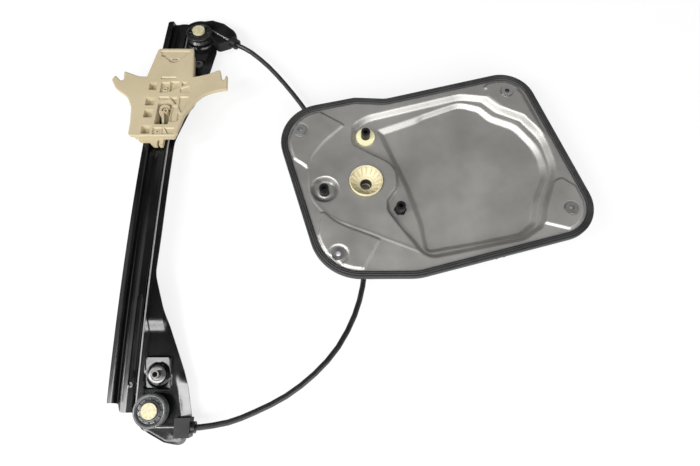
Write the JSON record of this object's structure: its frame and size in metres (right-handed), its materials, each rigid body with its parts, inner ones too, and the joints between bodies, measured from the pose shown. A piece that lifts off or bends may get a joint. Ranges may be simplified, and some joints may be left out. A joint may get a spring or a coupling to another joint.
{
  "type": "window regulator",
  "caption": "Cable-driven window regulator for a rear side door: bowed guide rail with a sliding glass carrier, cable casings, and a stamped panel over the cable drum, without its motor.",
  "frame": {"origin": "on the cable drum's axis, in the back face of its housing", "axes": "+Z out of the panel's face, square to it; +Y up the guide rail; +X from the rail towards the panel"},
  "size_m": [0.5117, 0.4868, 0.042],
  "materials": {
    "rail_paint": "satin black",
    "nut_steel": "dark zinc",
    "black_plastic": "satin black",
    "pulley_plastic": "matte dark grey",
    "cream_plastic": "matte cream",
    "bright_steel": "bright zinc",
    "cable_steel": "stranded steel",
    "carrier_nylon": "matte beige",
    "panel_steel": "galvanised grey",
    "seal_rubber": "matte dark grey",
    "casing": "black sheath",
    "sleeve_plastic": "matte brown"
  },
  "bodies": {
    "frame": {"guide_rail": "rail_paint", "upper_rail_nut": "nut_steel", "lower_rail_nut": "nut_steel", "upper_pulley_housing": "black_plastic", "upper_pulley_bush": "cream_plastic", "upper_axle": "bright_steel", "lower_pulley_bush": "cream_plastic", "lower_axle": "bright_steel", "lower_conduit_fitting": "black_plastic", "upper_ferrule": "bright_steel", "lower_ferrule": "bright_steel", "rail_cable": "cable_steel", "panel_plate": "panel_steel", "panel_seal": "seal_rubber", "panel_nuts": "nut_steel", "motor_sockets": "black_plastic", "locating_washer": "cream_plastic", "drum_axle": "bright_steel", "drum_housing": "black_plastic", "cable_leads": "cable_steel", "upper_conduit": "casing", "lower_conduit": "casing", "upper_conduit_end": "sleeve_plastic", "lower_conduit_end": "sleeve_plastic", "upper_tension_spring": "bright_steel", "lower_tension_spring": "bright_steel", "harness_clip": "black_plastic"},
    "carrier": {"glass_carrier": "carrier_nylon", "carrier_end_guide": "carrier_nylon", "carrier_nipples": "bright_steel", "upper_glide": "cream_plastic", "lower_glide": "cream_plastic"},
    "lock_lever": {"glass_lock_lever": "carrier_nylon"},
    "drum": {"cable_drum": "cream_plastic", "drive_coupling": "cream_plastic", "drum_cable": "cable_steel", "drum_nipples": "bright_steel"},
    "top_pulley": {"upper_pulley": "pulley_plastic"},
    "bottom_pulley": {"lower_pulley": "pulley_plastic"}
  },
  "joints": [
    {"name": "carrier_travel", "type": "hinge", "parent": "frame", "child": "carrier", "pos_m": [-0.21325, -0.008, -1.6775], "axis": [1, 0, 0], "range_deg": [-0.74, 7.21]},
    {"name": "lock_lever_swing", "type": "hinge", "parent": "carrier", "child": "lock_lever", "pos_m": [-0.21735, 0.08562, 0.03022], "axis": [0, 0.0647, 0.9979], "range_deg": [-6, 8]},
    {"name": "top_pulley_spin", "type": "hinge", "parent": "frame", "child": "top_pulley", "pos_m": [-0.199, 0.20991, 0.01251], "axis": [0, 0.1279, 0.9918], "range_deg": [-90, 865]},
    {"name": "bottom_pulley_spin", "type": "hinge", "parent": "frame", "child": "bottom_pulley", "pos_m": [-0.199, -0.22293, 0.01289], "axis": [0, -0.1261, 0.992], "range_deg": [-90, 865]},
    {"name": "drum_spin", "type": "hinge", "parent": "frame", "child": "drum", "pos_m": [0, 0, 0.0115], "axis": [0, 0, 1], "range_deg": [-500, 55]}
  ],
  "couplings": [
    {"joint": "top_pulley_spin", "follows": "carrier_travel", "ratio": 119.58},
    {"joint": "bottom_pulley_spin", "follows": "carrier_travel", "ratio": 119.58},
    {"joint": "drum_spin", "follows": "carrier_travel", "ratio": -68.849}
  ]
}
